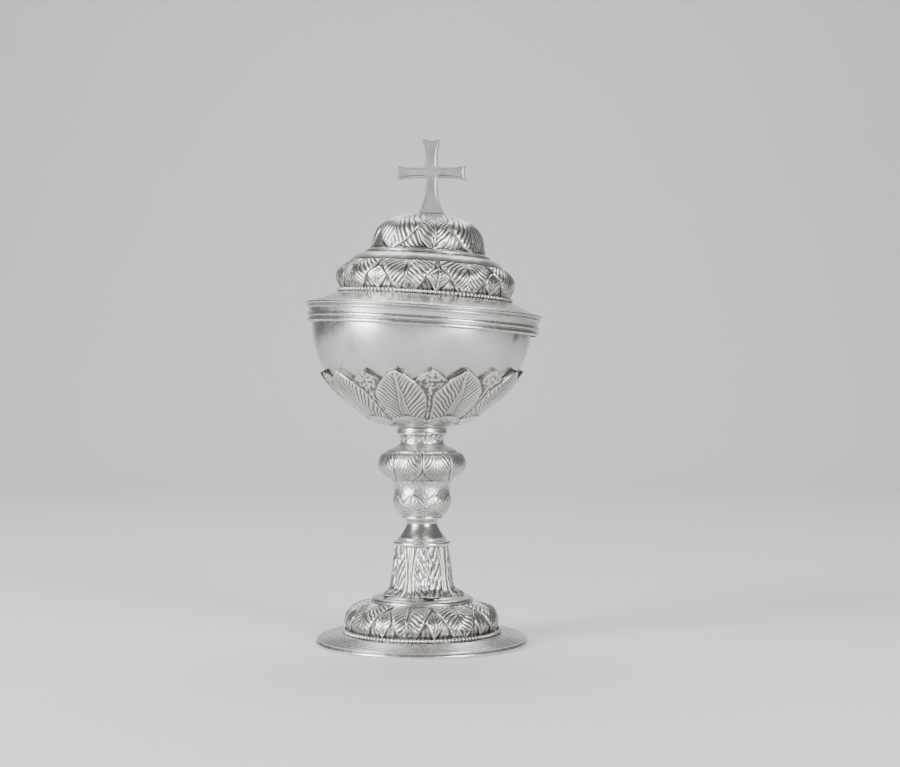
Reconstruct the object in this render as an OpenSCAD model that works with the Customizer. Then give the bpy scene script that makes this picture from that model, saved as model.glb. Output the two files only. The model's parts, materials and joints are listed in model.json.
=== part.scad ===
// Covered ciborium: a silver cup on a knopped stem, with a domed lid and a cross.
// Millimetres, +Z up, origin at the centre of the foot's underside.
// Every stem piece is hollow and threaded on one tie rod, as the real vessel is put together.

/* [Foot] */
// Radius of the turned edge ring that the vessel stands on
foot_r = 50.9; // [46:0.1:56]
// Height of the edge ring
foot_rim_h = 2.2; // [1.8:0.1:3]
// Height of the plate where the dome rises from it
foot_plate_top = 5.4; // [5:0.1:6]
// Number of fine turned steps on the plate
foot_steps = 6; // [3:1:8]
// Largest radius of the embossed foot dome
foot_dome_r = 37.4; // [34:0.1:40]
// Height of the foot dome's crown
foot_dome_top = 19.7; // [18:0.1:21]

/* [Stem] */
// Height at which the leafy bell stands on the shoulder ring
bell_z = 23.3; // [22:0.1:24]
// Number of leaves round the bell
bell_leaves = 5; // [4:1:7]
// Radius that the curled tips of the bell's leaves reach
tip_r = 20.6; // [18:0.1:21.5]
// Height of the underside of the heavy ring above the bell
torus_z = 46.3; // [44:0.1:48]
// Radius of the heavy ring
torus_r = 13.8; // [13:0.1:16]
// Height of the underside of the thin ring above the neck
ring_z = 59.0; // [57:0.1:60]
// Radius of the thin ring
ring_r = 9.9; // [9.5:0.1:12]
// Height of the underside of the vase
vase_z = 60.8; // [60.2:0.1:62]
// Height where the vase ends and the knop begins
knop_z = 77.2; // [75:0.1:79]
// Largest radius of the knop
knop_r = 20.9; // [18:0.1:23]
// Height where the collar stands on the knop
collar_z = 94.6; // [93:0.1:96]
// Height of the collar's top face
collar_top = 102.5; // [101.5:0.1:102.8]

/* [Cup] */
// Radius of the bowl where its wall is upright
bowl_r = 52.6; // [50:0.1:53]
// Height of the underside of the bowl
bowl_z = 103.8; // [103.4:0.1:104.2]
// Depth of the bowl's round part
bowl_depth = 49.0; // [44:0.1:52]
// Radius of the bowl's lip
lip_r = 53.3; // [53.1:0.1:53.5]
// Height of the lip's top edge
lip_z = 155.4; // [154:0.1:156]
// Height of the tips of the calyx leaves
leaf_tip_z = 130; // [124:0.5:134]
// Number of broad calyx leaves
leaf_count = 9; // [6:1:10]

/* [Lid] */
// Bore radius of the lid's skirt
skirt_bore_r = 53.9; // [53.9:0.1:54.1]
// Depth of the skirt below the lip plane
skirt_depth = 9.1; // [8:0.1:10]
// Height of the flange's inner edge above the lip plane
flange_rise = 6.2; // [5:0.1:8]
// Largest radius of the embossed lid band
band_r = 42.5; // [40:0.1:44]
// Height of the smooth ring above the lip plane
lid_ring_z = 25.6; // [24:0.1:27]
// Height of the lid's crown above the lip plane
crown_z = 45.8; // [44:0.1:48]
// Angle that the lid leans, because it is put on a little crooked
lid_lean = 3.9; // [0:0.1:3.9]
// Compass direction of the low side of the lid
lid_lean_dir = -12; // [-40:1:40]
// How far the lid is pushed sideways towards its low side
lid_push = 0.5; // [0.4:0.05:0.55]

/* [Cross] */
// Height of the cross above the crown
cross_h = 36.9; // [32:0.1:40]
// Span of the cross's arms
cross_span = 33; // [28:0.5:38]
// Thickness of the cross
cross_t = 3; // [2.4:0.1:4]
// Height of the arms' centre line above the crown
cross_arm_z = 20.5; // [18:0.1:22]
// How far the cross stands off the lid's axis
cross_offset = 0.8; // [-1:0.1:1]

/* [Sheet and fasteners] */
// Thickness of the raised sheet of the bowl, foot and lid
sheet = 0.9; // [0.7:0.05:1.1]
// Wall of the hollow stem pieces
wall = 1.3; // [1:0.1:1.6]
// Radius of the tie rod
rod_r = 2.5; // [2:0.1:3]
// Radius of the cross's tang
tang_r = 1.6; // [1.2:0.1:2]

/* [Hidden] */

silver = [0.80, 0.80, 0.78];
iron = [0.42, 0.41, 0.40];

$fn = 96;
// Running clearance between a thread's stand-in cylinder and its bore
thread_gap = 0.06;
// Gap between the bowl and the leaves that clasp it
clasp_gap = 0.15;
// Thickness of the calyx leaves
leaf_t = 0.9;
// Steps along one curve
curve_steps = 10;
// Radius of the foot plate where the bead wire lies on it
bead_seat_r = 38.2;
// Radius of the wire of both bead rows
bead_wire_r = 0.8;
// Underside of the shoulder ring, which the big washer pulls on
shoulder_z = 18.9;
washer_t = 1.5;
foot_nut_h = 5;
torus_h = 2.6;
// Direction of one leaf of the bell
bell_turn = 13;
boss_r = 6.4;
boss_h = 6.6;
bowl_centre_z = bowl_z + bowl_depth;
tang_len = 7;
cap_washer_t = 0.8;
cap_nut_h = 2.8;

// Point at t on a cubic curve with four control points
function bezier(p, t) = pow(1 - t, 3) * p[0] + 3 * pow(1 - t, 2) * t * p[1]
  + 3 * (1 - t) * t * t * p[2] + t * t * t * p[3];

// Cubic curve as a list of points
function curve(p, n = curve_steps) = [for (i = [0:n]) bezier(p, i / n)];

// Circular arc about c from angle a0 to a1
function arc(c, r, a0, a1, n = curve_steps) =
  [for (i = [0:n]) let (a = a0 + (a1 - a0) * i / n) c + r * [cos(a), sin(a)]];

function reversed(p) = [for (i = [len(p) - 1:-1:0]) p[i]];

// Left-hand unit normal of a path at point i
function normal_at(p, i) =
  let (a = p[max(i - 1, 0)], b = p[min(i + 1, len(p) - 1)], d = b - a) [-d[1], d[0]] / norm(d);

// Shift of the last point: level on a steep wall, straight down on a flat crown
function end_shift(n, t) = abs(n[0]) > abs(n[1]) ? [-t, 0] : [0, -t];

// Inner face of a sheet of thickness t. Its first point stays level, so that the foot is flat
function inset(p, t) = [for (i = [0:len(p) - 1]) let (n = normal_at(p, i))
  p[i] + (i == 0 ? [-t, 0] : i == len(p) - 1 ? end_shift(n, t) : t * n)];

// Sheet of thickness t turned about Z, along a path given from bottom to top
module turned_sheet(p, t) {
  rotate_extrude() polygon(concat(p, reversed(inset(p, t))));
}

// Solid turned about Z with a bore of radius r, outlined from bottom to top
module turned_block(p, r) {
  rotate_extrude() polygon(concat(p, [[r, p[len(p) - 1][1]], [r, p[0][1]]]));
}

// Flat hexagonal nut with a round bore
module nut(r, h, bore) {
  difference() {
    cylinder(r = r, h = h, $fn = 6);
    translate([0, 0, -1]) cylinder(r = bore, h = h + 2);
  }
}

module washer(r, h, bore) {
  difference() {
    cylinder(r = r, h = h);
    translate([0, 0, -1]) cylinder(r = bore, h = h + 2);
  }
}

// ---- Foot ----

module foot_rim() {
  color(silver)
    turned_block(concat([[foot_r - 0.5, 0]],
      arc([foot_r - foot_rim_h / 2, foot_rim_h / 2], foot_rim_h / 2, -60, 60),
      [[foot_r - 0.9, foot_rim_h]]), foot_r - 3);
}

// Outer face of the plate: small coves that climb to the bead wire
function plate_path() =
  let (r0 = foot_r - 0.9, step_w = (r0 - bead_seat_r - bead_wire_r) / foot_steps,
    z0 = foot_rim_h + sheet, rise = (foot_plate_top - z0) / foot_steps)
  concat([[r0, foot_rim_h]],
    [for (i = [0:foot_steps - 1]) each [
      [r0 - i * step_w, z0 + i * rise],
      [r0 - (i + 0.6) * step_w, z0 + (i + 0.1) * rise]]],
    [[foot_dome_r - 3.2, foot_plate_top]]);

module foot_plate() {
  color(silver) rotate_extrude()
    polygon(concat(plate_path(),
      [[foot_dome_r - 3.2, foot_plate_top - sheet], [foot_r - 3, foot_rim_h]]));
}

module foot_bead_wire() {
  color(silver) translate([0, 0, foot_plate_top + bead_wire_r])
    rotate_extrude() translate([bead_seat_r - bead_wire_r, 0]) circle(bead_wire_r, $fn = 24);
}

module foot_dome() {
  color(silver)
    turned_sheet(curve([[foot_dome_r - 1.8, foot_plate_top], [foot_dome_r + 1.4, foot_dome_top - 7.4],
      [foot_dome_r - 3.4, foot_dome_top - 1], [24.4, foot_dome_top]]), sheet);
}

module foot_shoulder() {
  color(silver)
    turned_sheet(concat([[24.0, shoulder_z]], arc([23.0, foot_dome_top + 0.9], 1.4, -20, 70, 5),
      curve([[22.6, 22.2], [21, 22.2], [20, bell_z], [12, bell_z]], 6)), wall);
}

// ---- Stem ----

// Point at radius r, a degrees round from the front
function polar(r, a) = [r * sin(a), -r * cos(a)];

// Outline of the gap between two leaf tips of the bell, centred on the front
module tip_gap() {
  gap = 180 / bell_leaves;
  polygon([polar(16.4, 0), polar(17.6, gap * 0.5), polar(tip_r - 1.6, gap * 0.82), polar(tip_r + 0.2, gap * 0.96),
    polar(tip_r * 1.6, gap * 0.96), polar(tip_r * 1.6, -gap * 0.96), polar(tip_r + 0.2, -gap * 0.96),
    polar(tip_r - 1.6, -gap * 0.82), polar(17.6, -gap * 0.5)]);
}

// Bell whose foot curls out into pointed leaf tips
module stem_bell() {
  side = curve([[15.8, bell_z + 2.6], [14.2, bell_z + 6], [14.2, bell_z + 13], [12.2, torus_z]]);
  color(silver) difference() {
    rotate_extrude() polygon(concat([[15.2, bell_z], [tip_r, bell_z + 0.2], [tip_r, bell_z + 0.9],
      [17.4, bell_z + 1.5]], side, reversed(inset(side, wall)), [[14.3, bell_z]]));
    for (i = [0:bell_leaves - 1])
      rotate([0, 0, bell_turn + (i + 0.5) * 360 / bell_leaves]) translate([0, 0, bell_z - 1])
        linear_extrude(4) tip_gap();
  }
}

module stem_torus() {
  edge = torus_h / 2;
  color(silver) turned_block(arc([torus_r - edge, torus_z + edge], edge, -90, 90), 7.2);
}

module stem_neck() {
  z0 = torus_z + torus_h;
  color(silver)
    turned_sheet(concat([[11.6, z0], [11.6, z0 + 1.2]],
      curve([[11.2, z0 + 1.5], [7.4, z0 + 4.6], [6.6, z0 + 7.2], [8.2, ring_z - 1]]), [[8.8, ring_z]]), wall);
}

module stem_ring() {
  edge = (vase_z - ring_z) / 2;
  color(silver) turned_block(arc([ring_r - edge, ring_z + edge], edge, -90, 90), 5.6);
}

module stem_vase() {
  color(silver)
    turned_sheet(concat(curve([[9.4, vase_z], [12.4, vase_z + 1.4], [14.2, vase_z + 6], [13.2, vase_z + 11]]),
      curve([[13.15, vase_z + 12], [13.1, vase_z + 14], [13.4, vase_z + 15.4], [14.1, knop_z]], 5)), wall);
}

module knop() {
  color(silver)
    turned_sheet(concat(
      curve([[14.3, knop_z], [16.2, knop_z + 2.2], [knop_r - 0.4, knop_z + 4], [knop_r, knop_z + 7.6]]),
      curve([[knop_r, knop_z + 8.4], [knop_r + 0.3, knop_z + 11], [knop_r - 1.8, knop_z + 13.4],
        [16.6, knop_z + 13.7]]),
      curve([[16.4, knop_z + 14.8], [14.8, knop_z + 15.6], [12.6, knop_z + 16], [11.3, collar_z]], 6)), wall);
}

module stem_collar() {
  color(silver)
    turned_sheet(concat(curve([[11.0, collar_z], [9.6, collar_z + 1.2], [9.4, collar_z + 3.6],
      [11.2, collar_top - 3.1]], 8), [[11.9, collar_top - 1.9], [11.9, collar_top]]), wall);
}

// ---- Tie rod and its fastenings ----

module tie_rod() {
  z0 = shoulder_z - washer_t - foot_nut_h - 2;
  z1 = bowl_z - 2.2;
  color(iron) translate([0, 0, z0]) union() {
    cylinder(r1 = rod_r - 0.5, r2 = rod_r, h = 0.5);
    translate([0, 0, 0.5]) cylinder(r = rod_r, h = z1 - z0 - 0.5);
  }
}

module foot_washer() {
  color(iron) translate([0, 0, shoulder_z - washer_t])
    washer(23.4, washer_t, rod_r + 0.4);
}

module foot_nut() {
  color(iron) translate([0, 0, shoulder_z - washer_t - foot_nut_h])
    nut(rod_r * 2.1, foot_nut_h, rod_r + thread_gap);
}

// ---- Cup ----

// Points of the bowl's outer curve, grown by g, up to the angle a1 from the bottom
function bowl_arc(g, a0, a1, n) = [for (i = [0:n]) let (a = a0 + (a1 - a0) * i / n)
  [(bowl_r + g) * sin(a), bowl_centre_z - (bowl_depth + g) * cos(a)]];

module cup_bowl() {
  outer = concat(bowl_arc(0, 0, 90, 24), [[lip_r, lip_z - 1.4], [lip_r, lip_z - 0.4], [lip_r - 0.4, lip_z]]);
  inner = concat(bowl_arc(-sheet, 0, 90, 24), [[bowl_r - sheet, lip_z]]);
  color(silver) rotate_extrude() polygon(concat(outer, reversed(inner)));
}

// Half angle of the bowl that the boss covers
boss_angle = asin(boss_r / bowl_r);

module cup_boss() {
  color(iron) difference() {
    rotate_extrude()
      polygon(concat([[0, bowl_z - boss_h], [boss_r, bowl_z - boss_h]], reversed(bowl_arc(0, 0, boss_angle, 4))));
    translate([0, 0, bowl_z - boss_h - 1]) cylinder(r = rod_r + thread_gap, h = boss_h - 0.8);
  }
}

// Height of the bowl's outer curve at radius r
function bowl_height(r) = bowl_centre_z - bowl_depth * sqrt(1 - pow(r / bowl_r, 2));

// Thin leaf cup that follows the bowl, before its edge is cut into leaves
module calyx_sheet() {
  seat_r = boss_r + 0.6;
  floor_z = bowl_height(seat_r) - clasp_gap;
  rotate_extrude()
    polygon(concat([[seat_r, collar_top], [12.4, collar_top + 0.4]],
      curve([[17.5, collar_top + 1.1], [23, collar_top + 3.2], [26, 107.6], [31.4, 112.4]], 5),
      bowl_arc(leaf_t + clasp_gap, 37.5, 66, 6),
      reversed(bowl_arc(clasp_gap, 12, 66, 10)), [[seat_r, floor_z]]));
}

// Outline of a leaf seen from outside: half width w, shoulders at z1, tip at z2
module leaf_outline(w, z1, z2) {
  side = curve([[w, z1], [w * 0.96, z1 + (z2 - z1) * 0.45], [w * 0.5, z1 + (z2 - z1) * 0.8], [0, z2]], 6);
  polygon(concat([[-w, collar_top - 2], [w, collar_top - 2]], side,
    [for (p = reversed(side)) if (p[0] > 0) [-p[0], p[1]]]));
}

module leaf_cutter(turn, w, z1, z2) {
  rotate([0, 0, turn]) translate([0, -8, 0]) rotate([90, 0, 0])
    linear_extrude(bowl_r) leaf_outline(w, z1, z2);
}

module calyx() {
  pitch = 360 / leaf_count;
  broad_turn = -13.5;
  broad_w = 27 * tan(pitch / 2) * 1.18;
  color(silver) intersection() {
    calyx_sheet();
    union() {
      cylinder(r = 30, h = 111.6);
      for (i = [0:leaf_count - 1]) {
        leaf_cutter(broad_turn + i * pitch, broad_w, 117, leaf_tip_z);
        leaf_cutter(broad_turn + (i + 0.5) * pitch, broad_w * 0.66, 120, leaf_tip_z - 0.5);
      }
    }
  }
}

// ---- Lid: drawn about its own axis, with z = 0 in the plane of the cup's lip ----

// Puts a lid piece on the cup: it bears on the lip at its low side and leans over
module lid_place() {
  translate([lid_push * cos(lid_lean_dir), lid_push * sin(lid_lean_dir), lip_z])
    rotate([0, 0, lid_lean_dir]) translate([lip_r, 0, 0]) rotate([0, lid_lean, 0])
    translate([-lip_r, 0, 0]) rotate([0, 0, -lid_lean_dir]) children();
}

// Turned mouldings of the skirt, from its lower edge up
module lid_rim() {
  r0 = skirt_bore_r;
  color(silver) lid_place() rotate_extrude()
    polygon(concat([[r0, -skirt_depth]],
      arc([r0 + 0.2, -skirt_depth + 1.15], 1.1, -80, 60, 6),
      arc([r0 + 0.6, -skirt_depth + 3.5], 0.75, -60, 60, 5),
      [[r0 + 0.75, -skirt_depth + 4.7], [r0 + 1, -2.7]],
      arc([r0 + 1, -1.8], 0.7, -60, 60, 5),
      arc([r0 + 1.6, -0.4], 0.95, -50, 80, 6),
      [[r0 + 1.1, 0.6], [r0, 0.6]]));
}

module lid_flange() {
  seat_r = skirt_bore_r - 0.06;
  inner_r = band_r - 3.3;
  color(silver) lid_place() rotate_extrude()
    polygon([[seat_r, 0.12], [seat_r, 0.62], [skirt_bore_r + 1.1, 0.72], [band_r - 1.6, flange_rise],
      [inner_r, flange_rise], [inner_r, flange_rise - sheet], [band_r - 1.6, flange_rise - sheet]]);
}

module lid_bead_wire() {
  color(silver) lid_place() translate([0, 0, flange_rise + bead_wire_r])
    rotate_extrude() translate([band_r - bead_wire_r - 0.6, 0]) circle(bead_wire_r, $fn = 24);
}

module lid_band() {
  r0 = band_r - bead_wire_r * 2 - 0.7;
  color(silver) lid_place()
    turned_sheet(concat([[r0, flange_rise], [r0, flange_rise + 1.5], [r0 + 1, flange_rise + 3.2]],
      curve([[band_r - 0.7, flange_rise + 4.4], [band_r + 1.1, flange_rise + 10],
        [band_r - 3.6, lid_ring_z - 4.6], [28.7, lid_ring_z]])), sheet);
}

module lid_ring() {
  color(silver) lid_place()
    turned_block([[29.4, lid_ring_z + 0.05], [29.8, lid_ring_z + 0.6], [29.5, lid_ring_z + 1.2],
      [28.6, lid_ring_z + 1.6], [28.0, lid_ring_z + 1.8]], 26.7);
}

module lid_dome() {
  z0 = lid_ring_z + 1.8;
  color(silver) lid_place()
    turned_sheet(concat(curve([[27.5, z0], [26, z0 + 4.6], [26.4, z0 + 9], [22.2, z0 + 12.6]]),
      curve([[21.6, z0 + 13.1], [18, crown_z - 3], [12, crown_z - 1.1], [5.6, crown_z]], 8),
      [[tang_r + thread_gap, crown_z]]), sheet);
}

// ---- Cross and its fastenings ----

// Half width along an arm, from w0 at its root to w1 at its end
function flare(w0, w1, s) = w0 + (w1 - w0) * pow(s, 3);

// One side of an arm of length l that starts at a, as distances along and across it
function arm_side(a, l, w0, w1, first) =
  [for (i = [first:6]) let (s = i / 6) [a + (l - a) * s, flare(w0, w1, s)]];

// Outline of the cross, drawn in by m all round, with z = 0 at its foot
module cross_outline(m) {
  shaft_w = 3 - m;
  arm_w = 2.65 - m;
  top = arm_side(arm_w, cross_h - cross_arm_z - m, shaft_w, 4.7 - m, 0);
  foot = arm_side(arm_w, cross_arm_z - m, shaft_w, 6.4 - m, 0);
  side = arm_side(shaft_w, cross_span / 2 - m, arm_w, 3.7 - m, 1);
  translate([0, cross_arm_z]) polygon(concat(
    [for (p = top) [p[1], p[0]]], [[0, cross_h - cross_arm_z - m - 0.9]],
    [for (p = reversed(top)) [-p[1], p[0]]],
    [for (p = side) [-p[0], p[1]]], [[-cross_span / 2 + m + 0.5, 0]],
    [for (p = reversed(side)) [-p[0], -p[1]]],
    [for (p = foot) [-p[1], -p[0]]], [for (p = reversed(foot)) [p[1], -p[0]]],
    [for (p = side) [p[0], -p[1]]], [[cross_span / 2 - m - 0.5, 0]],
    [for (p = reversed(side)) p]));
}

// Upright cross with a sunk panel on both faces
module cross_body() {
  border = 0.8;
  sunk = 0.35;
  difference() {
    translate([0, cross_t / 2, 0]) rotate([90, 0, 0]) linear_extrude(cross_t) cross_outline(0);
    for (face = [-1, 1])
      translate([0, face * cross_t / 2 + sunk, 0]) rotate([90, 0, 0])
        linear_extrude(sunk * 2) cross_outline(border);
  }
}

// The tang follows the lid's axis, and the cross is bent back upright above it
module cross_finial() {
  color(silver) lid_place() translate([0, 0, crown_z]) union() {
    difference() {
      rotate([0, 0, lid_lean_dir]) rotate([0, -lid_lean, 0]) rotate([0, 0, -lid_lean_dir])
        translate([cross_offset, 0, -0.2]) cross_body();
      translate([0, 0, -4]) cylinder(r = 12, h = 4);
    }
    translate([0, 0, -tang_len]) cylinder(r = tang_r, h = tang_len + 1);
  }
}

module finial_washer() {
  color(iron) lid_place() translate([0, 0, crown_z - sheet - cap_washer_t])
    washer(4.6, cap_washer_t, tang_r + 0.3);
}

module finial_nut() {
  color(iron) lid_place() translate([0, 0, crown_z - sheet - cap_washer_t - cap_nut_h])
    nut(3.6, cap_nut_h, tang_r + thread_gap);
}

foot_rim();
foot_plate();
foot_bead_wire();
foot_dome();
foot_shoulder();
stem_bell();
stem_torus();
stem_neck();
stem_ring();
stem_vase();
knop();
stem_collar();
tie_rod();
foot_washer();
foot_nut();
cup_boss();
calyx();
cup_bowl();
lid_rim();
lid_flange();
lid_bead_wire();
lid_band();
lid_ring();
lid_dome();
cross_finial();
finial_washer();
finial_nut();
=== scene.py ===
# Covered ciborium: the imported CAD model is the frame, and every visible piece is rebuilt
# here as a fine mesh with its embossed and chased relief.
import json
import math

import bpy
import numpy as np
from mathutils import Matrix, Vector

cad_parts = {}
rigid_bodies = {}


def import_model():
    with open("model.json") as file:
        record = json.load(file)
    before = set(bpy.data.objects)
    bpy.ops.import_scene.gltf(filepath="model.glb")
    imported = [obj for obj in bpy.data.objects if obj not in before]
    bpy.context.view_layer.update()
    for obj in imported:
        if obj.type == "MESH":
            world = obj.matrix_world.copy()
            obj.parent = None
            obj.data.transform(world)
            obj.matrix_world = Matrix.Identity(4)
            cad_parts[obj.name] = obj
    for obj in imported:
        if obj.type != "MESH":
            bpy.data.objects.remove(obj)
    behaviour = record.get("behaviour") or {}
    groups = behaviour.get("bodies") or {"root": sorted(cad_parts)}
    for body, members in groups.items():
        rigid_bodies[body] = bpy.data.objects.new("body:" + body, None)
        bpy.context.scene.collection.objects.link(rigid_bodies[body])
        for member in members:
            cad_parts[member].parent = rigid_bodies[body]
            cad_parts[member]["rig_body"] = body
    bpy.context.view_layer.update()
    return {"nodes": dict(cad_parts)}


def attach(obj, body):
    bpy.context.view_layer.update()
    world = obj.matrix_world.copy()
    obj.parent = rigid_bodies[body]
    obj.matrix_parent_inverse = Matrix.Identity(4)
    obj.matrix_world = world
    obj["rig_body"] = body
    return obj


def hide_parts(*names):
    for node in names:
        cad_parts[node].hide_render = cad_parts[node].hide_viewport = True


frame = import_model()

MM = 0.001
TAU = 2 * math.pi

# ---------------------------------------------------------------- measuring the frame


def node_points(node):
    """A CAD node's vertices as an array, in metres."""
    mesh = frame["nodes"][node].data
    flat = np.zeros(len(mesh.vertices) * 3)
    mesh.vertices.foreach_get("co", flat)
    return flat.reshape(-1, 3)


def lid_axes():
    """Matrix from the lid's own frame to the row frame: its axis on Z and its skirt's lower edge at 0."""
    points = node_points("lid_rim")
    centre = points.mean(axis=0)
    up = np.linalg.svd(points - centre, full_matrices=False)[2][2]
    up *= np.sign(up[2])
    low = ((points - centre) @ up).min()
    turn = Vector((0, 0, 1)).rotation_difference(Vector(up)).to_matrix().to_4x4()
    return Matrix.Translation(Vector(centre + up * low)) @ turn


UPRIGHT = Matrix.Identity(4)
LEANING = lid_axes()


def extent(node, place):
    """Largest radius, lowest and highest point of a turned CAD node along its own axis."""
    inverse = np.array(place.inverted())
    points = node_points(node) @ inverse[:3, :3].T + inverse[:3, 3]
    radius = np.hypot(points[:, 0], points[:, 1]).max()
    return radius, points[:, 2].min(), points[:, 2].max()


# ---------------------------------------------------------------- outlines


def smooth_run(points, steps):
    """Points along a Catmull-Rom curve through the given points, ends included."""
    p = np.array(points, float)
    if len(p) == 2:
        t = np.linspace(0, 1, steps + 1)[:, None]
        return p[0] * (1 - t) + p[1] * t
    p = np.vstack([2 * p[0] - p[1], p, 2 * p[-1] - p[-2]])
    run = []
    for i in range(1, len(p) - 2):
        t = np.linspace(0, 1, steps, endpoint=False)[:, None]
        a, b, c, d = p[i - 1], p[i], p[i + 1], p[i + 2]
        run.append(0.5 * (2 * b + (c - a) * t + (2 * a - 5 * b + 4 * c - d) * t**2
                          + (3 * b - a - 3 * c + d) * t**3))
    return np.vstack(run + [p[-2:-1]])


def outline(*runs, steps=8):
    """One path from several smooth runs, with a corner where two runs meet."""
    path = [smooth_run(run, steps) for run in runs]
    return np.vstack([path[0]] + [run[1:] for run in path[1:]])


def fit(path, node, place, widest=None):
    """A path drawn in millimetres, stretched to the CAD node's own radius and height, in metres.

    widest replaces the node's radius, in mm, where only its leaf tips reach that far.
    """
    radius, low, high = extent(node, place)
    r = path[:, 0] / path[:, 0].max() * (widest * MM if widest else radius)
    span = path[:, 1].max() - path[:, 1].min()
    z = low + (path[:, 1] - path[:, 1].min()) / span * (high - low)
    return np.column_stack([r, z])


def normals(path):
    """Unit normals of a path, to its right, which is outwards on a wall drawn upwards."""
    along = np.gradient(path, axis=0)
    along /= np.hypot(along[:, 0], along[:, 1])[:, None]
    return np.column_stack([along[:, 1], -along[:, 0]])


# ---------------------------------------------------------------- meshes


def add_mesh(name, points, quads, place, hollow=None):
    """A smooth-shaded mesh object from arrays, with the depth of its recesses as an attribute, which the
    materials paint as shade and tarnish.
    """
    matrix = np.array(place)
    points = points @ matrix[:3, :3].T + matrix[:3, 3]
    mesh = bpy.data.meshes.new(name)
    mesh.vertices.add(len(points))
    mesh.vertices.foreach_set("co", points.ravel())
    mesh.loops.add(quads.size)
    mesh.loops.foreach_set("vertex_index", quads.ravel())
    mesh.polygons.add(len(quads))
    mesh.polygons.foreach_set("loop_start", np.arange(0, quads.size, 4))
    mesh.polygons.foreach_set("use_smooth", np.ones(len(quads), bool))
    mesh.update()
    mesh.validate()
    depth = mesh.attributes.new("hollow", "FLOAT", "POINT")
    if hollow is not None:
        depth.data.foreach_set("value", hollow)
    piece = bpy.data.objects.new(name, mesh)
    bpy.context.scene.collection.objects.link(piece)
    return piece


def ring_quads(rows, around, closed):
    """Quads between rows of points that each run once round the axis."""
    row = np.arange(rows if closed else rows - 1)[:, None]
    col = np.arange(around)[None, :]
    after = (row + 1) % rows
    right = (col + 1) % around
    corners = [row * around + col, row * around + right, after * around + right, after * around + col]
    return np.stack(np.broadcast_arrays(*corners), axis=-1).reshape(-1, 4)


def turned(name, section, place, around=256):
    """A solid of revolution from a closed section in metres, outlined anticlockwise."""
    angle = np.arange(around) / around * TAU
    r, z = section[:, 0][:, None], section[:, 1][:, None]
    points = np.stack(np.broadcast_arrays(r * np.sin(angle), -r * np.cos(angle), z), axis=-1)
    return add_mesh(name, points.reshape(-1, 3), ring_quads(len(section), around, True), place)


def cavity(height):
    """From 0 on a worn crest through 0.3 on the level to 1 in deep grooves. The materials paint it as shade
    and tarnish in the grooves.
    """
    mean = height
    for step in (1, 2, 3):
        mean = (np.roll(mean, step, 1) + np.roll(mean, -step, 1) + 2 * mean) / 4
        padded = np.pad(mean, ((step, step), (0, 0)), mode="edge")
        mean = (padded[2 * step :] + padded[: -2 * step] + 2 * mean) / 4
    deep = np.clip((mean - height) / 0.16, -1, 1)
    return 0.3 + 0.7 * np.maximum(deep, 0) + 0.3 * np.minimum(deep, 0)


def embossed(name, path, relief, place, around, along, sheet, top):
    """A closed sheet of revolution with relief on its outer face.

    relief(angle, radius, level, run) gets angles from the side that faces -Y, and the radius, the
    height and the distance up the path in mm. It gives the height of the relief in mm.
    top(angle) is the height in mm where the sheet ends.
    """
    step = np.hypot(*np.diff(path, axis=0).T)
    at = np.concatenate([[0], np.cumsum(step)]) / MM
    out = normals(path)
    angle = np.arange(around) / around * TAU
    end = np.full(around, at[-1]) if top is None else np.interp(top(angle) * MM, path[:, 1], at)
    share = at / at[-1] if along is None else np.linspace(0, 1, along)
    back = np.linspace(1, 0, 14)

    def on_path(run, values):
        return np.interp(run, at, values)

    run = share[:, None] * end
    r, z = on_path(run, path[:, 0]), on_path(run, path[:, 1])
    sway = 0.006 * np.sin(9 * angle + run * 0.35) + 0.004 * np.sin(23 * angle - run * 0.6)
    drift = 0.22 * np.sin(17 * angle + run * 0.4) + 0.16 * np.sin(31 * angle - run * 0.5)
    height = relief(angle + sway, r / MM, z / MM, run + drift) + np.zeros(r.shape)
    # Recess depth, which the materials paint as shade and tarnish.
    hollow = cavity(height)
    height = height * MM
    outer_r = r + on_path(run, out[:, 0]) * height
    outer_z = z + on_path(run, out[:, 1]) * height
    run = back[:, None] * end
    inner_r = on_path(run, path[:, 0]) - on_path(run, out[:, 0]) * sheet
    inner_z = on_path(run, path[:, 1]) - on_path(run, out[:, 1]) * sheet
    inner_z[-1] = path[0, 1]
    r, z = np.vstack([outer_r, inner_r]), np.vstack([outer_z, inner_z])
    points = np.stack([r * np.sin(angle), -r * np.cos(angle), z], axis=-1).reshape(-1, 3)
    # The inner face gets a middling mark of painted shade and tarnish.
    marks = np.vstack([hollow, np.full(inner_r.shape, 0.4)]).ravel()
    return add_mesh(name, points, ring_quads(len(r), around, True), place, marks)


# ---------------------------------------------------------------- materials


def new_material(name):
    """An empty node material with its Principled shader and node tree."""
    material = bpy.data.materials.new(name)
    material.use_nodes = True
    tree = material.node_tree
    return material, tree, tree.nodes["Principled BSDF"]


def noise(tree, coords, scale, detail=3.0, rough=0.55):
    node = tree.nodes.new("ShaderNodeTexNoise")
    node.inputs["Scale"].default_value = scale
    node.inputs["Detail"].default_value = detail
    node.inputs["Roughness"].default_value = rough
    tree.links.new(coords, node.inputs["Vector"])
    return node.outputs["Fac"]


def ramp(tree, value, stops):
    """A colour ramp through (place, grey or colour) stops."""
    node = tree.nodes.new("ShaderNodeValToRGB")
    elements = node.color_ramp.elements
    while len(elements) < len(stops):
        elements.new(0.5)
    for element, (place, shade) in zip(elements, stops):
        colour = shade if isinstance(shade, tuple) else (shade, shade, shade)
        element.position = place
        element.color = (*colour, 1)
    tree.links.new(value, node.inputs["Fac"])
    return node.outputs["Color"]


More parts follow.
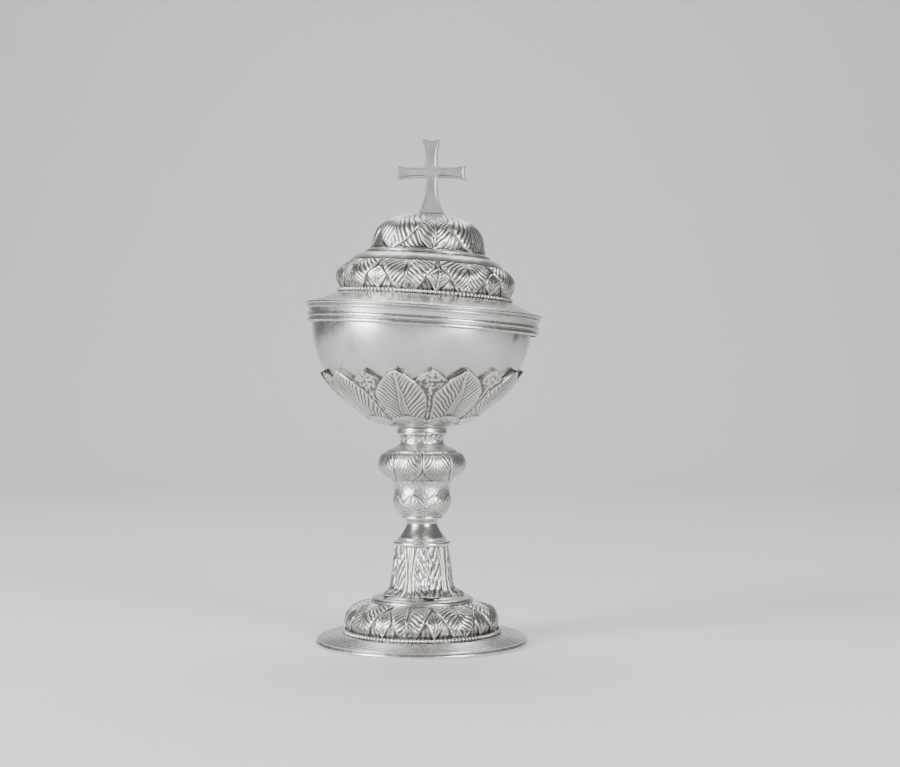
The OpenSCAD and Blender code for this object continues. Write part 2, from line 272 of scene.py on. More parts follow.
def blend_colour(tree, mode, fac, a, b):
    """Mix node between two colour sockets. fac is a socket or a number."""
    node = tree.nodes.new("ShaderNodeMix")
    node.data_type = "RGBA"
    node.blend_type = mode
    if isinstance(fac, float):
        node.inputs[0].default_value = fac
    else:
        tree.links.new(fac, node.inputs[0])
    tree.links.new(a, node.inputs[6])
    tree.links.new(b, node.inputs[7])
    return node.outputs[2]


def bumped(tree, shader, layers):
    """Chains bump layers of (height socket, strength, distance in metres) into the shader."""
    before = None
    for height, strength, distance in layers:
        node = tree.nodes.new("ShaderNodeBump")
        node.inputs["Strength"].default_value = strength
        node.inputs["Distance"].default_value = distance
        tree.links.new(height, node.inputs["Height"])
        if before is not None:
            tree.links.new(before, node.inputs["Normal"])
        before = node.outputs["Normal"]
    tree.links.new(before, shader.inputs["Normal"])


def silver(name, field, patch, groove_shade_and_tarnish, polish):
    """Old silver plate: worn bright on its crests, dull in patches on its face, with painted shade and
    tarnish in its grooves.
    """
    material, tree, shader = new_material(name)
    coords = tree.nodes.new("ShaderNodeTexCoord").outputs["Object"]
    depth = tree.nodes.new("ShaderNodeAttribute")
    depth.attribute_name = "hollow"
    face = ramp(tree, noise(tree, coords, 42.0, 6.0, 0.65), [(0.38, field), (0.64, patch)])
    # Painted shade and tarnish: the colour drops from 1 on worn crests to the third colour in deep recesses.
    shade_and_tarnish_tint = ramp(tree, depth.outputs["Fac"], [(0.0, 1.0), (0.3, 0.80), (0.62, groove_shade_and_tarnish), (1.0, groove_shade_and_tarnish)])
    tree.links.new(blend_colour(tree, "MULTIPLY", 1.0, face, shade_and_tarnish_tint), shader.inputs["Base Color"])
    shader.inputs["Metallic"].default_value = 1.0
    haze = ramp(tree, noise(tree, coords, 160.0, 6.0, 0.7), [(0.3, polish), (0.75, polish + 0.16)])
    tree.links.new(haze, shader.inputs["Roughness"])
    grain = noise(tree, coords, 1100.0, 4.0, 0.7)
    ripple = noise(tree, coords, 70.0, 2.0, 0.5)
    bumped(tree, shader, [(ripple, 0.22, 0.0006), (grain, 0.07, 0.0001)])
    return material


def iron():
    """Dull iron with brown patches, for the hidden fasteners."""
    material, tree, shader = new_material("dull_iron")
    coords = tree.nodes.new("ShaderNodeTexCoord").outputs["Object"]
    mill_scale, rust = (0.30, 0.29, 0.28), (0.20, 0.13, 0.09)
    patches = ramp(tree, noise(tree, coords, 160.0, 5.0), [(0.35, mill_scale), (0.7, rust)])
    tree.links.new(patches, shader.inputs["Base Color"])
    shader.inputs["Metallic"].default_value = 0.85
    shader.inputs["Roughness"].default_value = 0.55
    bumped(tree, shader, [(noise(tree, coords, 700.0, 5.0, 0.7), 0.4, 0.0002)])
    return material


def pale(name, grey):
    """Matt pale paint for the floor and backdrop."""
    material, tree, shader = new_material(name)
    shader.inputs["Base Color"].default_value = (grey, grey, grey * 0.985, 1)
    shader.inputs["Roughness"].default_value = 0.8
    return material


# The third colour of each silver is its painted shade and tarnish in the grooves.
PLAIN = silver("silver_plain", (0.78, 0.775, 0.76), (0.66, 0.65, 0.625), (0.40, 0.385, 0.36), 0.20)
CHASED = silver("silver_chased", (0.80, 0.79, 0.775), (0.66, 0.645, 0.62), (0.25, 0.235, 0.215), 0.26)
MATT = silver("silver_matt", (0.68, 0.67, 0.65), (0.55, 0.54, 0.515), (0.40, 0.385, 0.36), 0.36)
IRON = iron()

# ---------------------------------------------------------------- camera, light and floor

VIEW_X, VIEW_Z = 0.0134, 0.1183
VIEW_DISTANCE = 0.739
VIEW_PITCH = 0.43


def add_camera():
    """The camera at the photograph's viewing angle."""
    data = bpy.data.cameras.new("camera")
    data.sensor_width = 36.0
    data.lens = 61.6
    camera = bpy.data.objects.new("camera", data)
    camera.location = (VIEW_X, -VIEW_DISTANCE, VIEW_Z)
    camera.rotation_euler = (math.radians(90 + VIEW_PITCH), 0, 0)
    bpy.context.scene.collection.objects.link(camera)
    bpy.context.scene.camera = camera


def soft_box(name, azimuth, height, distance, size, power):
    """An upright rectangular light that faces the vessel."""
    data = bpy.data.lights.new(name, "AREA")
    data.shape = "RECTANGLE"
    data.size, data.size_y = size
    data.energy = power
    light = bpy.data.objects.new(name, data)
    turn = math.radians(azimuth)
    light.location = (distance * math.sin(turn), -distance * math.cos(turn), height)
    aim = Vector((0, 0, 0.13)) - light.location
    light.rotation_euler = aim.to_track_quat("-Z", "Y").to_euler()
    bpy.context.scene.collection.objects.link(light)


def add_stage():
    """A pale floor that sweeps up into a backdrop, three large soft boxes and a pale sky."""
    half = 1.05
    run = [(-4.0, 0.0, 4.0), (0.6, 0.0, 4.0), (1.2, 0.0, half)]
    turn = np.linspace(0, math.pi / 2, 12)[1:]
    bend = [(1.2 + 0.8 * math.sin(a), 0.8 - 0.8 * math.cos(a), half) for a in turn]
    path = run + bend + [(2.0, 3.0, half)]
    points = [(x * side, y, z) for y, z, x in path for side in (-1, 1)]
    quads = [(2 * i, 2 * i + 1, 2 * i + 3, 2 * i + 2) for i in range(len(path) - 1)]
    mesh = bpy.data.meshes.new("floor")
    mesh.from_pydata(points, [], quads)
    mesh.polygons.foreach_set("use_smooth", np.ones(len(quads), bool))
    mesh.materials.append(pale("pale_floor", 0.86))
    floor = bpy.data.objects.new("floor", mesh)
    bpy.context.scene.collection.objects.link(floor)
    soft_box("left_window", -58, 0.5, 1.3, (0.6, 1.0), 30)
    soft_box("right_window", 40, 0.45, 1.4, (0.5, 0.9), 24)
    soft_box("top_light", 180, 1.7, 0.9, (1.6, 1.0), 22)
    world = bpy.data.worlds.new("studio")
    world.use_nodes = True
    world.node_tree.nodes["Background"].inputs["Color"].default_value = (0.80, 0.80, 0.81, 1)
    world.node_tree.nodes["Background"].inputs["Strength"].default_value = 0.26
    bpy.context.scene.world = world


# ---------------------------------------------------------------- relief


def fold(angle, count, turn=0.0):
    """Place across the nearest of count leaves, from -0.5 to 0.5. turn is one leaf's axis in degrees."""
    x = (angle - math.radians(turn)) / TAU * count
    return x - np.round(x)


def smooth(a, b, x):
    """Soft step from 0 where x is a to 1 where x is b."""
    t = np.clip((x - a) / (b - a), 0, 1)
    return t * t * (3 - 2 * t)


def ridge(x, width):
    """A rounded ridge of height 1 where x is 0."""
    return np.exp(-((x / width) ** 2))


def edge_curve(*points):
    """Fine (level, half width) table of a leaf's edge. Half widths are shares of the leaf's pitch."""
    return smooth_run(points, 16).T


def edge_at(edge, level, pitch, stretch):
    """Half width in mm at a level, and the cosine of the edge's slope. stretch is mm of run per level."""
    slope = np.gradient(edge[1], edge[0])
    width = np.interp(level, edge[0], edge[1])
    lean = np.interp(level, edge[0], slope) * pitch / stretch
    return width * pitch, 1 / np.sqrt(1 + lean * lean)


def feathers(side, up, spacing, slope, start, inside, margin=0.8):
    """Height from 0 to 1 of ribs that rise outwards from a leaf's central rib."""
    phase = (up - slope * side * (1 - 0.02 * side)) / spacing
    wave = np.abs(np.cos(math.pi * phase)) ** 0.8
    where = smooth(0.0, 0.9, side - start) * smooth(margin - 0.5, margin + 0.5, inside)
    return wave * where * (0.45 + 0.55 * smooth(0.5, 5.0, side))


SPECKS = np.random.default_rng(7).random((48, 360))


def mottle(angle, run, cells, rise):
    """Soft random marks from 0 to 1: cells of them round the axis, and one every rise mm up the path."""
    x, y = angle / TAU * cells, run / rise
    x0, y0 = np.floor(x), np.floor(y)
    fx, fy = smooth(0, 1, x - x0), smooth(0, 1, y - y0)
    left, right = x0.astype(int) % cells, (x0.astype(int) + 1) % cells
    low, high = y0.astype(int) % 48, (y0.astype(int) + 1) % 48
    below = SPECKS[low, left] * (1 - fx) + SPECKS[low, right] * fx
    above = SPECKS[high, left] * (1 - fx) + SPECKS[high, right] * fx
    return below * (1 - fy) + above * fy


def plain(angle, radius, level, run):
    """No relief."""
    return 0.0


def plate_relief(angle, radius, level, run):
    """Fine turned rings round the foot plate."""
    rings = np.abs(np.cos(math.pi * (50.2 - radius) / 1.45))
    return 0.26 * rings * smooth(50.0, 49.4, radius) * smooth(39.5, 40.5, radius)


# Calyx: broad leaves with pointed smaller leaves behind them
CALYX_COUNT = 9
BROAD_TURN = -13.5
BROAD_EDGE = edge_curve((102, 0.40), (107, 0.43), (112, 0.445), (117, 0.44), (120, 0.405), (122.5, 0.34),
                        (125, 0.25), (127.6, 0.14), (129.2, 0.06), (130.2, 0.0))
SMALL_EDGE = edge_curve((102, 0.32), (118, 0.33), (122, 0.31), (125, 0.235), (127.4, 0.14), (129, 0.065),
                        (130, 0.0))


def calyx_top(angle):
    """Height of the zigzag upper edge of the calyx."""
    broad = np.abs(fold(angle, CALYX_COUNT, BROAD_TURN))
    small = 0.5 - broad
    tips = [np.interp(x, edge[1][::-1][:90], edge[0][::-1][:90])
            for x, edge in ((broad, BROAD_EDGE), (small, SMALL_EDGE))]
    return np.maximum(*tips)


def calyx_relief(angle, radius, level, run):
    """Ribbed broad leaves over mottled small ones, with an oval lip at the foot of each broad leaf."""
    pitch = TAU / CALYX_COUNT * radius
    side = np.abs(fold(angle, CALYX_COUNT, BROAD_TURN)) * pitch
    width, lean = edge_at(BROAD_EDGE, level, pitch, 1.35)
    inside = (width - side) * lean
    wedge = 0.3 + np.clip(125 - level, 0, 20) * 0.11
    body = smooth(-0.12, 0.25, inside)
    rib = feathers(side, run, 2.9, 1.7, wedge, inside)
    leaf = 0.45 + 0.34 * ridge(inside - 0.4, 0.34) + 0.26 * ridge(side - wedge, 0.3)
    leaf = leaf + 0.62 * rib + 0.24 * smooth(0.5, -0.3, side - wedge)
    back_side = 0.5 * pitch - side
    back_width, back_lean = edge_at(SMALL_EDGE, level, pitch, 1.35)
    back_inside = (back_width - back_side) * back_lean
    back = 0.1 + 0.3 * ridge(back_inside - 0.4, 0.34) + 0.2 * ridge(back_side, 0.35)
    back = back + 0.5 * mottle(angle, run, 300, 1.1) * smooth(0.6, 1.2, back_inside)
    flare = 0.8 * smooth(121, 130, level)
    height = back * (1 - body) + leaf * body + flare * (0.7 + 0.3 * body)
    lip = np.sqrt(np.clip((side / 8.6) ** 2 + ((level - 107.1) / 2.3) ** 2, 0, 9))
    curl = 1.15 * np.sqrt(np.clip(1 - lip**4, 0, 1)) + 0.3 * ridge(lip - 0.84, 0.09)
    curl = curl + 0.22 * mottle(angle, run, 240, 0.9) * smooth(0.8, 0.6, lip)
    curl = (curl - 0.3 * ridge(lip - 1.08, 0.07)) * smooth(1.3, 1.1, lip)
    return np.where(level < 110, np.maximum(height * smooth(105.0, 108.5, level), curl), height)


def hanging_relief(count, bud_turn, leaf_edge, bud_edge, ribs, bud_ribs, stretch, wedge_top, swell, rib_from):
    """Broad leaves that hang from the top of a band, with small upright buds between their sides.

    stretch is the band's height in mm. Shares of it run from 0 at its bottom to 1 at its top.
    ribs and bud_ribs are (height, spacing, slope) of the two kinds of feather ribs.
    """

    def relief(angle, radius, level, run):
        t = run / stretch
        pitch = TAU / count * radius
        from_bud = np.abs(fold(angle, count, bud_turn)) * pitch
        side = 0.5 * pitch - from_bud
        width, lean = edge_at(leaf_edge, t, pitch, stretch)
        inside = (width - side) * lean
        body = smooth(-0.1, 0.25, inside)
        wedge = wedge_top * np.clip((t - rib_from) / (1 - rib_from), 0, 1)
        centre = ridge(side - wedge, 0.3) * smooth(rib_from - 0.06, rib_from + 0.06, t)
        feather = ribs[0] * feathers(side, -run, ribs[1], ribs[2], wedge, inside)
        feather = feather * smooth(rib_from - 0.1, rib_from + 0.05, t)
        dome = np.clip(1 - (side / np.maximum(width, 0.5)) ** 2, 0, 1)
        round_out = dome * np.sin(math.pi * np.clip(t, 0, 1))
        chased = 0.3 * mottle(angle, run, 300, 1.2) * smooth(0.7, 1.2, inside)
        chased = chased * smooth(rib_from + 0.1, rib_from - 0.05, t)
        leaf = 0.34 + 0.36 * ridge(inside - 0.38, 0.34)
        leaf = leaf + feather + 0.3 * centre + swell * round_out + chased
        bud_width, bud_lean = edge_at(bud_edge, t, pitch, stretch)
        bud_inside = (bud_width - from_bud) * bud_lean
        bud_body = smooth(-0.1, 0.25, bud_inside)
        bud = 0.26 + 0.34 * ridge(bud_inside - 0.38, 0.32) + 0.3 * ridge(from_bud, 0.34)
        bud = bud + bud_ribs[0] * feathers(from_bud, run, bud_ribs[1], bud_ribs[2], 0.3, bud_inside, 0.6)
        ground = 0.14 * np.cos((from_bud - bud_width) * 2.6 + run * 0.7) * smooth(0.3, 0.8, -inside)
        height = np.maximum(leaf * body + ground * (1 - body), bud * bud_body)
        return (height - 0.45) * smooth(-0.01, 0.03, t) * smooth(1.01, 0.97, t)

    return relief


BAND_LEAF = edge_curve((0.0, 0.03), (0.03, 0.11), (0.08, 0.155), (0.16, 0.20), (0.26, 0.245), (0.38, 0.29),
                       (0.5, 0.33), (0.62, 0.385), (0.75, 0.445), (0.9, 0.46), (1.0, 0.46))
BAND_BUD = edge_curve((0.0, 0.0), (0.06, 0.02), (0.16, 0.06), (0.3, 0.12), (0.42, 0.165), (0.52, 0.15),
                      (0.62, 0.09), (0.74, 0.0), (0.85, -0.05), (1.0, -0.05))
DOME_LEAF = edge_curve((0.0, 0.02), (0.05, 0.10), (0.12, 0.17), (0.22, 0.235), (0.34, 0.30), (0.5, 0.355),
                       (0.7, 0.42), (0.9, 0.475), (1.0, 0.48))
DOME_BUD = edge_curve((0.0, -0.02), (0.03, 0.05), (0.08, 0.10), (0.2, 0.165), (0.32, 0.20), (0.5, 0.15),
                      (0.7, 0.085), (0.9, 0.02), (1.0, 0.0))
KNOP_LEAF = edge_curve((0.0, -0.1), (0.05, 0.02), (0.09, 0.15), (0.15, 0.26), (0.23, 0.355), (0.33, 0.43),
                       (0.43, 0.475), (0.5, 0.485), (1.0, 0.485))
NO_BUD = edge_curve((0.0, -0.1), (0.5, -0.1), (1.0, -0.1))

BUD_RIBS = (0.3, 1.9, 1.0)
NO_RIBS = (0.0, 1.0, 1.0)
foot_leaves = hanging_relief(9, 10.5, BAND_LEAF, BAND_BUD, (0.6, 2.2, 0.9), BUD_RIBS, 22.0, 1.9, 0.35, 0.26)
lid_leaves = hanging_relief(9, 8.5, BAND_LEAF, BAND_BUD, (0.65, 2.3, 1.1), BUD_RIBS, 17.6, 1.7, 0.35, 0.26)
dome_leaves = hanging_relief(4, 7.0, DOME_LEAF, DOME_BUD, (0.5, 4.4, 2.1), (0.45, 2.6, 1.3),
                             31.0, 0.6, 0.3, 0.1)
knop_leaves = hanging_relief(9, 1.5, KNOP_LEAF, NO_BUD, (0.42, 2.7, 1.6), NO_RIBS, 20.5, 0.4, 0.2, 0.2)


def lid_band_relief(angle, radius, level, run):
    """Leaves up the band's side, below a smooth rounded ring."""
    ring = np.sin(math.pi * np.clip((run - 18.1) / 8.6, 0, 1))
    return lid_leaves(angle, radius, level, run) + 0.9 * np.clip(ring, 0, 1) ** 0.7


def knop_relief(angle, radius, level, run):
    """Shallow leaves below the knop's smooth shoulder."""
    return knop_leaves(angle, radius, level, run) * smooth(92.0, 91.2, level) * 0.5


VASE_EDGE = edge_curve((60, 0.52), (66, 0.52), (67.4, 0.47), (68.8, 0.36), (70.0, 0.23), (70.9, 0.10),
                       (71.4, 0.0), (73, -0.1), (78, -0.1))


def vase_relief(angle, radius, level, run):
    """A row of eight ribbed leaf arches round the lower half."""
    pitch = TAU / 8 * radius
    side = np.abs(fold(angle, 8, -18.5)) * pitch
    width, lean = edge_at(VASE_EDGE, level, pitch, 1.0)
    inside = (width - side) * lean
    ribs = feathers(side, run, 1.7, 0.8, 0.2, inside)
    leaf = 0.22 + 0.26 * ridge(inside - 0.3, 0.28) + 0.2 * ribs
    return smooth(-0.1, 0.25, inside) * leaf + 0.16 * mottle(angle, run, 90, 1.0)


BELL_EDGE = edge_curve((22, 0.36), (24, 0.40), (27, 0.42), (31, 0.43), (35, 0.425), (39, 0.40), (43, 0.36),
                       (46.6, 0.31))


def bell_relief(angle, radius, level, run):
    """Broad leaves with raised edges and ragged lobes, and narrow stems between. Their tips curl out."""
    count = 5
    pitch = TAU / count * radius
    place = fold(angle, count, 13.0)
    side = np.abs(place) * pitch
    width, lean = edge_at(BELL_EDGE, level, pitch, 1.0)
    inside = (width - side) * lean
    body = smooth(-0.15, 0.3, inside)
    lobes = feathers(side, run, 6.2, 2.4, 0.6, inside, 1.2) * (0.35 + 0.9 * mottle(angle, run, 25, 5.0))
    front = 0.3 + 0.75 * ridge(inside - 0.55, 0.5) + 0.65 * lobes + 0.4 * mottle(angle, run, 75, 2.1)
    front = front + 0.35 * ridge(side - 0.8 + 0.5 * np.sin(run * 0.7), 0.5)
    back_side = 0.5 * pitch - side
    back = 0.1 + 0.5 * ridge(back_side - 0.5, 0.4)
    share = 1 - np.abs(place) / 0.43
    tip = 4.6 * np.clip((27.0 - level) / 3.5, 0, 1.05) ** 1.9 * np.clip(share, 0, 1) ** 0.7
    gap = 1 - (0.5 - np.abs(place)) / 0.1
    tip = tip + 1.8 * np.clip((26.0 - level) / 2.7, 0, 1.02) ** 2 * np.clip(gap, 0, 1) ** 0.8
    return back * (1 - body) + front * body - 0.5 + tip


def collar_relief(angle, radius, level, run):
    """Faint flutes and hammer marks in the collar's hollow."""
    flutes = np.abs(np.cos(angle * 9)) ** 1.5
    marks = 0.1 * flutes + 0.45 * mottle(angle, run, 54, 1.2)
    return smooth(94.8, 96, level) * smooth(101, 100, level) * marks


def dents(*places):
    """Shallow dents at (azimuth in degrees, level, width, depth in mm)."""

    def relief(angle, radius, level, run):
        total = 0.0
        for azimuth, height, width, depth in places:
            across = ((angle - math.radians(azimuth) + math.pi) % TAU - math.pi) * radius
            total = total - depth * np.exp(-(across**2 + (level - height) ** 2) / width**2)
        return total

    return relief


# ---------------------------------------------------------------- pieces

# Thickness of the raised sheets and of the cast stem walls, in mm
RAISED, CAST = 0.9, 1.3
LID_NODES = [name for name, piece in frame["nodes"].items() if piece["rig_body"] == "lid"]


def home(node):
    """The axes that a node is turned about, and the body that it rides on."""
    return (LEANING, "lid") if node in LID_NODES else (UPRIGHT, "stand")


def finish_piece(piece, node, slot, look=None):
    """Material and body of a piece that stands for a CAD node, with slot choosing between the chased and the
    plain silver.
    """
    piece.data.materials.append(look or (CHASED if slot == "silver_chased" else PLAIN))
    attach(piece, home(node)[1])
    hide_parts(node)


def sheet_piece(node, path, thick, relief=plain, slot="silver_chased", around=720, along=120, top=None,
                widest=None):
    """A raised sheet, thick in mm, that replaces a CAD node."""
    place = home(node)[0]
    path = fit(path, node, place, widest)
    piece = embossed(node + "_mesh", path, relief, place, around, along, thick * MM, top)
    finish_piece(piece, node, slot)


def ring_piece(node, section, slot="silver_plain", around=360):
    """A solid turned ring that replaces a CAD node."""
    place = home(node)[0]
    finish_piece(turned(node + "_mesh", fit(section, node, place), place, around), node, slot)


def bead_piece(node, beads, wire):
    """A ring of beads strung on a wire."""
    place = home(node)[0]
    radius, low, high = extent(node, place)
    thick = (high - low) / 2
    per_bead, sides = 12, 14
    around = beads * per_bead
    angle = np.arange(around) / around * TAU
    x = 2 * ((np.arange(around) + 0.5) / per_bead % 1) - 1
    girth = thick * np.maximum(np.sqrt(1 - x * x), wire)
    turn = np.arange(sides)[:, None] / sides * TAU
    r = radius - thick + girth * np.cos(turn)
    z = (low + high) / 2 + girth * np.sin(turn)
    points = np.stack([r * np.sin(angle), -r * np.cos(angle), z], axis=-1).reshape(-1, 3)
    # Painted shade and tarnish where the beads narrow to the wire.
    shade_and_tarnish_marks = np.broadcast_to(smooth(0.6, 1.0, np.abs(x)), r.shape).ravel()
    piece = add_mesh(node + "_mesh", points, ring_quads(sides, around, True), place, shade_and_tarnish_marks)
    finish_piece(piece, node, "silver_chased")


def foot_pieces():
    """Edge ring, plate, bead ring, dome and shoulder of the foot."""
    ring_piece("foot_rim", outline(
        [(47.9, 0), (50.3, 0)], [(50.3, 0), (50.9, 1.1), (50.3, 2.2)], [(50.3, 2.2), (47.9, 2.2)],
        [(47.9, 2.2), (47.9, 0.1)]))
    bead_piece("foot_bead_wire", 132, 0.5)
    plate = outline([(50.0, 2.2), (50.0, 2.9)], [(50.0, 2.9), (44.5, 4.3), (39.0, 5.2)],
                    [(39.0, 5.2), (34.2, 5.4)])
    sheet_piece("foot_plate", plate, RAISED, plate_relief, "silver_plain", around=480, along=150)
    dome = outline([(35.6, 5.4), (37.0, 8.3), (37.4, 11.5), (36.2, 14.6), (33.2, 17.3), (29, 19),
                    (24.4, 19.7)])
    sheet_piece("foot_dome", dome, RAISED, foot_leaves)
    shoulder = outline([(24.0, 18.9), (24.3, 19.8), (24.4, 20.7), (23.8, 21.6), (22.6, 22.2)],
                       [(22.6, 22.2), (21, 22.5), (19.5, 23.2), (17, 23.3)], [(17, 23.3), (12, 23.3)])
    sheet_piece("foot_shoulder", shoulder, 1.2, slot="silver_plain", around=360, along=60)


def stem_pieces():
    """The stem's pieces from the bell up to the collar."""
    bell = outline([(15.8, 23.3), (15.7, 24.2), (15.0, 26.4), (14.2, 31), (13.5, 38), (12.2, 46.3)])
    sheet_piece("stem_bell", bell, CAST, bell_relief, around=640, along=140, widest=15.8)
    ring_piece("stem_torus", outline(
        [(7.2, 46.3), (12.5, 46.3)], [(12.5, 46.3), (13.5, 46.8), (13.8, 47.6), (13.5, 48.4), (12.5, 48.9)],
        [(12.5, 48.9), (7.2, 48.9)], [(7.2, 48.9), (7.2, 46.4)]))
    neck = outline([(11.6, 48.9), (11.6, 50.1)], [(11.6, 50.1), (10.8, 50.6), (9.5, 52.4), (8.2, 54.6),
                                                  (7.4, 56.4), (7.5, 57.7), (8.8, 59)])
    sheet_piece("stem_neck", neck, CAST, slot="silver_plain", around=360, along=60)
    ring_piece("stem_ring", outline(
        [(5.6, 59.0), (9.0, 59.0)], [(9.0, 59.0), (9.7, 59.3), (9.9, 59.9), (9.7, 60.5), (9.0, 60.8)],
        [(9.0, 60.8), (5.6, 60.8)], [(5.6, 60.8), (5.6, 59.1)]))
    vase = outline([(9.4, 60.8), (10.4, 61.6), (11.8, 63.0), (12.9, 65.0), (13.5, 67.6), (13.4, 70.5),
                    (13.15, 74), (13.5, 76), (14.1, 77.2)])
    sheet_piece("stem_vase", vase, CAST, vase_relief, around=640)
    knop = outline([(14.3, 77.2), (16.4, 79), (19.2, 81.2), (20.6, 83.2), (20.9, 85.2), (20.5, 87.6),
                    (19.4, 89.6), (17.8, 90.7), (16.6, 90.9)], [(16.6, 90.9), (16.7, 91.5), (16.2, 92)],
                   [(16.2, 92), (15.2, 92.5), (13.6, 93.3), (12, 93.9), (11.3, 94.6)])
    sheet_piece("knop", knop, CAST, knop_relief)
    collar = outline([(11.0, 94.6), (10.2, 95.8), (10.0, 97), (10.3, 98.4), (11.1, 99.4)],
                     [(11.1, 99.4), (11.9, 100.3), (11.9, 102.5)])
    sheet_piece("stem_collar", collar, CAST, collar_relief, around=540, along=80)


def cup_pieces():
    """The plain bowl and the leaf cup that clasps it."""
    turn = np.radians(np.linspace(0.2, 90, 84))
    bowl = np.column_stack([52.6 * np.sin(turn), 152.8 - 49 * np.cos(turn)])
    lip = [[53.0, 153.6], [53.3, 154.4], [53.25, 155.1], [52.9, 155.4]]
    marks = dents((-38, 141, 6, 0.25), (58, 146, 3, 0.25), (15, 137, 8, 0.2), (-8, 147, 10, 0.2),
                  (140, 138, 7, 0.3), (-120, 144, 9, 0.3), (34, 149, 5, 0.15), (100, 135, 8, 0.25))
    sheet_piece("cup_bowl", np.vstack([bowl, lip]), RAISED, marks, "silver_plain", around=512, along=160)
    calyx = outline([(7.0, 102.5), (12.4, 102.9)],
                    [(12.4, 102.9), (17.5, 103.8), (22, 106), (26, 108.4), (31.4, 112.4), (36.4, 116.2),
                     (40.4, 119.9), (43.9, 124.0), (46.6, 128.4), (47.6, 130.4)])
    sheet_piece("calyx", calyx, RAISED, calyx_relief, top=calyx_top)


def lid_pieces():
    """Skirt, flange, bead ring, band, ring and dome of the lid, drawn above the cup's lip."""
    rim = outline([(53.9, 0), (54.4, 0)], [(54.4, 0), (55.1, 0.5), (55.2, 1.1), (54.9, 1.9), (54.5, 2.3)],
                  [(54.5, 2.3), (55.1, 2.9), (55.2, 3.7), (54.9, 4.3), (54.6, 4.6)],
                  [(54.6, 4.6), (54.75, 5.6), (54.9, 6.6)],
                  [(54.9, 6.6), (55.5, 7.0), (55.6, 7.6), (55.2, 8.1)],
                  [(55.2, 8.1), (56.1, 8.4), (56.45, 9.0), (56.2, 9.5), (55.6, 9.7)],
                  [(55.6, 9.7), (54.9, 9.7)])
    sheet_piece("lid_rim", rim, RAISED, slot="silver_plain", around=512, along=None)
    flange = outline([(55.0, 0.72), (53.9, 1.3)], [(53.9, 1.3), (53.6, 1.2)], [(53.6, 1.2), (52.6, 1.75)],
                     [(52.6, 1.75), (52.3, 1.65)], [(52.3, 1.65), (48, 3.4), (40.9, 6.2)],
                     [(40.9, 6.2), (39.2, 6.2)])
    sheet_piece("lid_flange", flange, RAISED, slot="silver_plain", around=512, along=None)
    bead_piece("lid_bead_wire", 130, 0.5)
    band = outline([(40.2, 6.2), (40.2, 7.6)], [(40.2, 7.6), (41.2, 9.4), (42.3, 12), (42.5, 14.6),
                                                (41.2, 17.4), (38.6, 20), (33.4, 23.6), (28.7, 25.6)])
    sheet_piece("lid_band", band, RAISED, lid_band_relief, along=122)
    ring_piece("lid_ring", outline(
        [(26.7, 0), (29.4, 0)], [(29.4, 0), (29.8, 0.6), (29.5, 1.2), (28.6, 1.6), (28.0, 1.8)],
        [(28.0, 1.8), (26.7, 1.8)], [(26.7, 1.8), (26.7, 0.1)]))
    dome = outline([(27.5, 27.4), (26.5, 30.5), (25.9, 34), (24.7, 37.4), (22.2, 40.2), (18.4, 42.5),
                    (13, 44.4), (6.5, 45.7), (1.7, 45.8)])
    sheet_piece("lid_dome", dome, RAISED, dome_leaves, along=122)


def arm(start, length, root, end, count=10):
    """Points of one side of a cross arm, as distances along and across it."""
    steps = [i / count for i in range(count + 1)]
    return [(start + (length - start) * t, root + (end - root) * t**3) for t in steps]


def quarter(top, side, beam, shaft, fillet):
    """A quarter of the cross's outline, from its upright arm over a rounded corner to its level arm."""
    turn = np.radians(np.linspace(0, 90, 6)[1:-1])
    corner = [(shaft + fillet * (1 - math.cos(a)), beam + fillet * (1 - math.sin(a))) for a in turn]
    return [(w, d) for d, w in reversed(top)] + corner + [(d, w) for d, w in side]


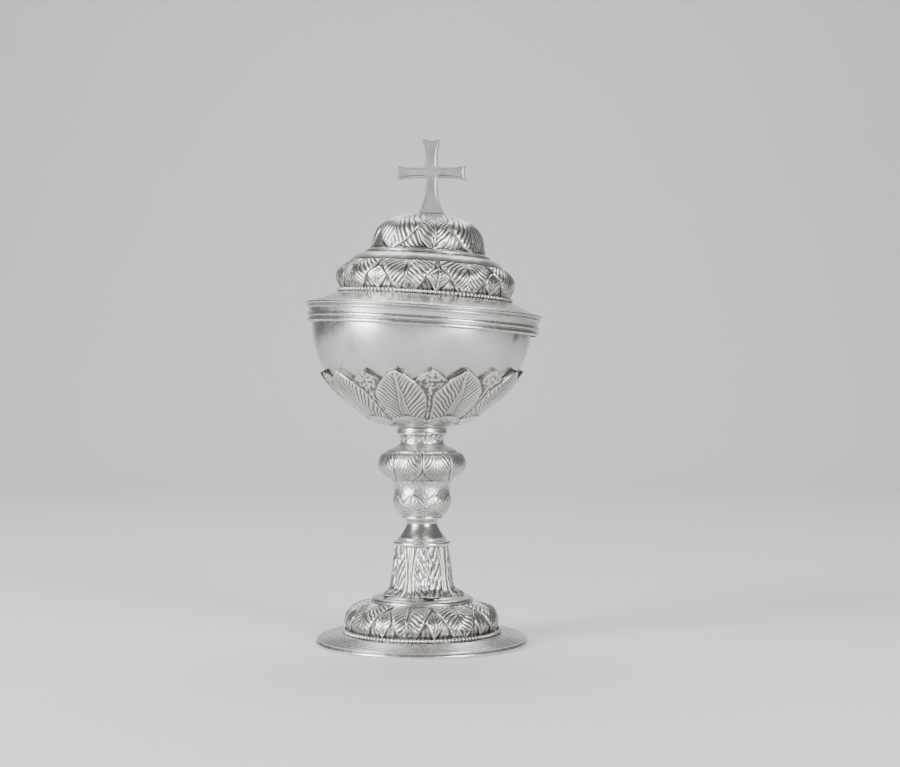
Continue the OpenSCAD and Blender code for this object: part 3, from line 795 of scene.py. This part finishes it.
def cross_ring(inset):
    """Outline of the cross about the middle of its arms, drawn in by inset, in mm, clockwise from its top."""
    shaft, beam, fillet = 3.0 - inset, 2.65 - inset, 1.6 + inset * 0.7
    top = arm(beam + fillet, 16.4 - inset, shaft, 4.7 - inset)
    foot = arm(beam + fillet, 20.7 - inset, shaft, 6.8 - inset)
    side = arm(shaft + fillet, 16.5 - inset, beam, 3.7 - inset)
    upper = quarter(top, side, beam, shaft, fillet)
    lower = quarter(foot, side, beam, shaft, fillet)
    points = upper + [(16.0 - inset, 0)] + [(x, -y) for x, y in reversed(lower)]
    points += [(-x, -y) for x, y in lower] + [(inset - 16.0, 0)] + [(-x, y) for x, y in reversed(upper)]
    return np.array(points + [(0, 15.5 - inset)])


def cross_piece():
    """The cross as a bar with bevelled edges and a sunk panel on both faces."""
    node = "cross_finial"
    points = node_points(node)
    low, high = points.min(axis=0), points.max(axis=0)
    half = (high[1] - low[1]) / 2 / MM
    levels = [(1.35, 0.42), (1.15, 0.3), (0.75, 0.0), (0.38, 0.0), (0.0, 0.4)]
    front = [(inset, -half + deep) for inset, deep in levels]
    rings = front + [(inset, -y) for inset, y in reversed(front)]
    centre = ((low + high) / 2)[:2]
    arms = high[2] - 16.4 * MM
    rows = []
    for inset, y in rings:
        ring = cross_ring(inset) * MM
        depth = np.full(len(ring), centre[1] + y * MM)
        rows.append(np.column_stack([centre[0] + ring[:, 0], depth, arms + ring[:, 1]]))
    count = len(rows[0])
    corners = [tuple(p) for row in rows for p in row]
    faces = [tuple(int(i) for i in quad) for quad in ring_quads(len(rows), count, False)]
    faces.append(tuple(range(count - 1, -1, -1)))
    faces.append(tuple(range(len(corners) - count, len(corners))))
    mesh = bpy.data.meshes.new(node + "_mesh")
    mesh.from_pydata(corners, [], faces)
    mesh.update()
    marks = mesh.attributes.new("hollow", "FLOAT", "POINT")
    # Painted shade and tarnish in the sunk panel, most on its wall, one value per ring.
    shade_and_tarnish_marks = np.array([0.25, 0.6, 0.2, 0.0, 0.1, 0.1, 0.0, 0.2, 0.6, 0.25])
    marks.data.foreach_set("value", np.repeat(shade_and_tarnish_marks, count))
    piece = bpy.data.objects.new(node + "_mesh", mesh)
    bpy.context.scene.collection.objects.link(piece)
    finish_piece(piece, node, "silver_plain", MATT)


def hidden_fasteners():
    """The CAD meshes of the fasteners, in iron."""
    for node in ("tie_rod", "foot_washer", "foot_nut", "cup_boss", "finial_washer", "finial_nut"):
        mesh = frame["nodes"][node].data
        mesh.materials.clear()
        mesh.materials.append(IRON)


add_camera()
add_stage()
foot_pieces()
stem_pieces()
cup_pieces()
lid_pieces()
cross_piece()
hidden_fasteners()
